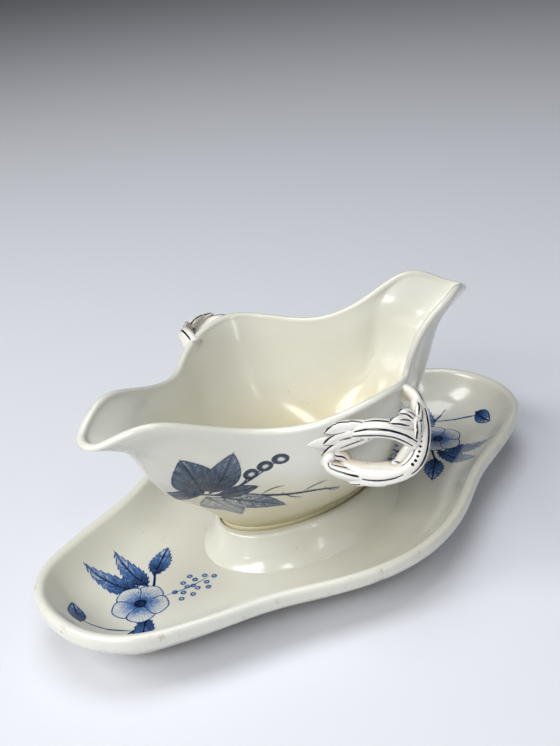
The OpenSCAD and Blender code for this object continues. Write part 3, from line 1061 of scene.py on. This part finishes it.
def glaze_finish(n):
    """Glossy lead glaze: the shader's gloss, uneven roughness, and a normal with slight waviness."""
    n.bsdf.inputs["IOR"].default_value = 1.52
    n.bsdf.inputs["Coat Weight"].default_value = 0.35
    n.bsdf.inputs["Coat Roughness"].default_value = 0.06
    rough = n.ramp(n.noise(60, 3, 0.6), 0.3, 0.7, 0.14, 0.24)
    n.link(rough, n.bsdf.inputs["Roughness"])
    return n.bump(n.noise(45, 2, 0.5), 0.25, 0.0006)


def cream_glaze(name, yellow_heights=None):
    """The bare ware: cream glaze with wear at its edges and a crackle that only just shows."""
    n = Nodes(name)
    colour = glaze_colour(n, CREAM, CREAM_WARM, yellow_heights)
    cell = {"feature": "DISTANCE_TO_EDGE", "Scale": 210.0}
    cracks = n.add("ShaderNodeTexVoronoi", cell, {"Vector": n.bent(0.004)})
    crack = n.ramp(cracks.outputs["Distance"], 0.0, 0.025, 1.0, 0.0)
    crazed = n.ramp(n.noise(14, 2, 0.5), 0.45, 0.6)
    colour = n.mix(n.math("MULTIPLY", n.math("MULTIPLY", crack, crazed), 0.10), colour, CRACKLE)
    n.link(worn(n, colour), n.bsdf.inputs["Base Color"])
    n.link(glaze_finish(n), n.bsdf.inputs["Normal"])
    return n.material


INK_BLUE = ((0.075, 0.18, 0.42), (0.005, 0.009, 0.042))
INK_SLATE = ((0.10, 0.145, 0.22), (0.007, 0.011, 0.030))


def inked_glaze(name, inks, yellow_heights=None):
    """The same glaze over transfer ink: a broken wash in the mid tones, solid in the lines."""
    n = Nodes(name)
    ink = n.attribute("ink")
    grain = n.ramp(n.noise(1500, 2, 0.6), 0.35, 0.65, -0.10, 0.10)
    patchy = n.ramp(n.noise(420, 3, 0.6), 0.35, 0.65, -0.07, 0.07)
    toned = n.math("ADD", ink, n.math("MULTIPLY", n.math("ADD", grain, patchy), n.ramp(ink, 0.0, 0.3)))
    glaze = glaze_colour(n, CREAM, CREAM_WARM, yellow_heights)
    wash = n.mix(n.ramp(toned, 0.03, 0.5), glaze, inks[0])
    colour = n.mix(n.ramp(toned, 0.45, 0.92), wash, inks[1])
    n.link(colour, n.bsdf.inputs["Base Color"])
    n.link(glaze_finish(n), n.bsdf.inputs["Normal"])
    return n.material


WHITE = (0.78, 0.77, 0.73)
WHITE_WARM = (0.74, 0.69, 0.60)
# painted warm shade for the inside of the handle's ring
HUB_SIDE_SHADE = (0.58, 0.47, 0.32)
LINE_BLACK = (0.008, 0.010, 0.022)


def painted_glaze():
    """The handles: whiter glaze with painted warm shade towards the hub, over painted black lines."""
    n = Nodes("handle_glaze")
    colour = glaze_colour(n, WHITE, WHITE_WARM)
    # painted shade: the side towards the hub turns warm brown, broken up by noise
    shade = n.math("MULTIPLY", n.attribute("inner"), n.ramp(n.noise(70, 3, 0.6), 0.35, 0.65, 0.2, 0.8))
    colour = n.mix(shade, colour, HUB_SIDE_SHADE)
    ragged = n.ramp(n.noise(500, 2, 0.5), 0.3, 0.7, -0.15, 0.15)
    paint = n.ramp(n.math("ADD", n.attribute("paint"), ragged), 0.35, 0.6)
    colour = n.mix(paint, colour, LINE_BLACK)
    n.link(colour, n.bsdf.inputs["Base Color"])
    n.link(glaze_finish(n), n.bsdf.inputs["Normal"])
    return n.material


BISCUIT_DARK = (0.40, 0.23, 0.10)
BISCUIT_PALE = (0.60, 0.42, 0.24)
BISCUIT_GRIT = (0.25, 0.15, 0.08)


def biscuit():
    """The unglazed clay of the stand's foot."""
    n = Nodes("biscuit")
    grain = n.ramp(n.noise(900, 4, 0.7), 0.3, 0.7)
    stain = n.ramp(n.noise(40, 3, 0.6), 0.35, 0.7)
    colour = n.mix(stain, BISCUIT_DARK, BISCUIT_PALE)
    colour = n.mix(n.math("MULTIPLY", grain, 0.3), colour, BISCUIT_GRIT)
    n.link(colour, n.bsdf.inputs["Base Color"])
    n.bsdf.inputs["Roughness"].default_value = 0.8
    n.link(n.bump(grain, 0.4, 0.0003), n.bsdf.inputs["Normal"])
    return n.material


# ---- light, floor and camera ------------------------------------------------------------------
FLOOR_HALF = 6.0
FLOOR_PAINT = (0.72, 0.74, 0.80)
SKY = (0.86, 0.90, 1.0)
SKY_STRENGTH = 0.03
WINDOW_LIGHT = (1.0, 0.985, 0.95)
CEILING_LIGHT = (0.96, 0.97, 1.0)
FILL_LIGHT = (0.95, 0.97, 1.0)


def stage():
    """The plain pale floor."""
    h = FLOOR_HALF
    data = bpy.data.meshes.new("floor")
    corners = [(-h, -h, 0), (h, -h, 0), (h, h, 0), (-h, h, 0)]
    data.from_pydata(corners, [], [(0, 1, 2, 3)])
    floor = bpy.data.objects.new("floor", data)
    bpy.context.scene.collection.objects.link(floor)
    n = Nodes("floor_paint")
    n.bsdf.inputs["Base Color"].default_value = (*FLOOR_PAINT, 1)
    n.bsdf.inputs["Roughness"].default_value = 0.7
    floor.data.materials.append(n.material)


def area_light(name, place, aim, size, power, colour=(1, 1, 1)):
    data = bpy.data.lights.new(name, "AREA")
    data.shape = "RECTANGLE"
    data.size, data.size_y = size
    data.energy = power
    data.color = colour
    light = bpy.data.objects.new(name, data)
    light.location = place
    light.rotation_euler = (Vector(aim) - Vector(place)).to_track_quat("-Z", "Y").to_euler()
    bpy.context.scene.collection.objects.link(light)


def lights():
    """A faint even sky, soft window and ceiling light, and small lamps for the streaks of gloss."""
    world = bpy.data.worlds.new("studio")
    world.use_nodes = True
    sky = world.node_tree.nodes["Background"]
    sky.inputs["Color"].default_value = (*SKY, 1)
    sky.inputs["Strength"].default_value = SKY_STRENGTH
    bpy.context.scene.world = world
    bpy.context.scene.view_settings.view_transform = "Standard"
    centre = (0, 0, 0.05)
    for height in (0.75, 0.92, 1.09):
        area_light("window_bar", (-1.155, -0.345, height), centre, (1.1, 0.09), 4.0, WINDOW_LIGHT)
    area_light("left_window", (-1.1, 0.5, 1.15), centre, (0.6, 0.7), 11, WINDOW_LIGHT)
    area_light("ceiling", (0, 0.1, 1.6), centre, (1, 1), 12, CEILING_LIGHT)
    area_light("fill", (0.5, -1.2, 0.8), centre, (0.9, 0.6), 0.9, FILL_LIGHT)
    area_light("lip_streak", (-0.35, -0.92, 1.02), (0.07, 0, 0.07), (0.16, 0.3), 1.3)
    area_light("wall_streak", (0.24, -1.23, 0.5), (0.01, 0.04, 0.06), (0.08, 0.4), 0.6)
    for place in ((-1.30, -0.60, 0.15), (-1.32, -0.45, 0.41)):
        area_light("pedestal_streak", place, (-0.04, -0.01, 0.02), (0.3, 0.03), 0.35)


# The camera, as fitted to the photograph
CAMERA_PLACE = (-0.2615, -0.3085, 0.2805)
CAMERA_AZIMUTH = math.radians(-39.58)
CAMERA_ELEVATION = math.radians(26.37)
CAMERA_ROLL = math.radians(-5.36)
CAMERA_LENS = 51.4
SENSOR = 36


def camera():
    a, e, roll = CAMERA_AZIMUTH, CAMERA_ELEVATION, CAMERA_ROLL
    back = Vector((math.sin(a) * math.cos(e), -math.cos(a) * math.cos(e), math.sin(e)))
    right = (-back).cross(Vector((0, 0, 1))).normalized()
    up = right.cross(-back)
    side = right * math.cos(roll) + up * math.sin(roll)
    top = up * math.cos(roll) - right * math.sin(roll)
    data = bpy.data.cameras.new("camera")
    data.lens = CAMERA_LENS
    data.sensor_width = SENSOR
    data.sensor_fit = "AUTO"
    data.clip_start = 0.01
    cam = bpy.data.objects.new("camera", data)
    cam.matrix_world = Matrix.Translation(CAMERA_PLACE) @ Matrix((side, top, back)).transposed().to_4x4()
    bpy.context.scene.collection.objects.link(cam)
    bpy.context.scene.camera = cam


# ---- putting it together ----------------------------------------------------------------------
camera()
stage()
lights()

stand_glaze, boat_glaze = cream_glaze("stand_glaze"), cream_glaze("boat_glaze", BOAT_YELLOW_HEIGHTS)
dish, bowl = stand_dish(), boat_bowl()
for piece in (dish, stand_pedestal()):
    piece.data.materials.append(stand_glaze)
for piece in (bowl, boat_foot()):
    piece.data.materials.append(boat_glaze)
stand_foot().data.materials.append(biscuit())

white = painted_glaze()
for piece in handles():
    piece.data.materials.append(white)
blue, slate = inked_glaze("blue_print", INK_BLUE), inked_glaze("slate_print", INK_SLATE, BOAT_YELLOW_HEIGHTS)
for piece, ink in zip(prints(dish, bowl), (blue, blue, slate, slate)):
    piece.data.materials.append(ink)
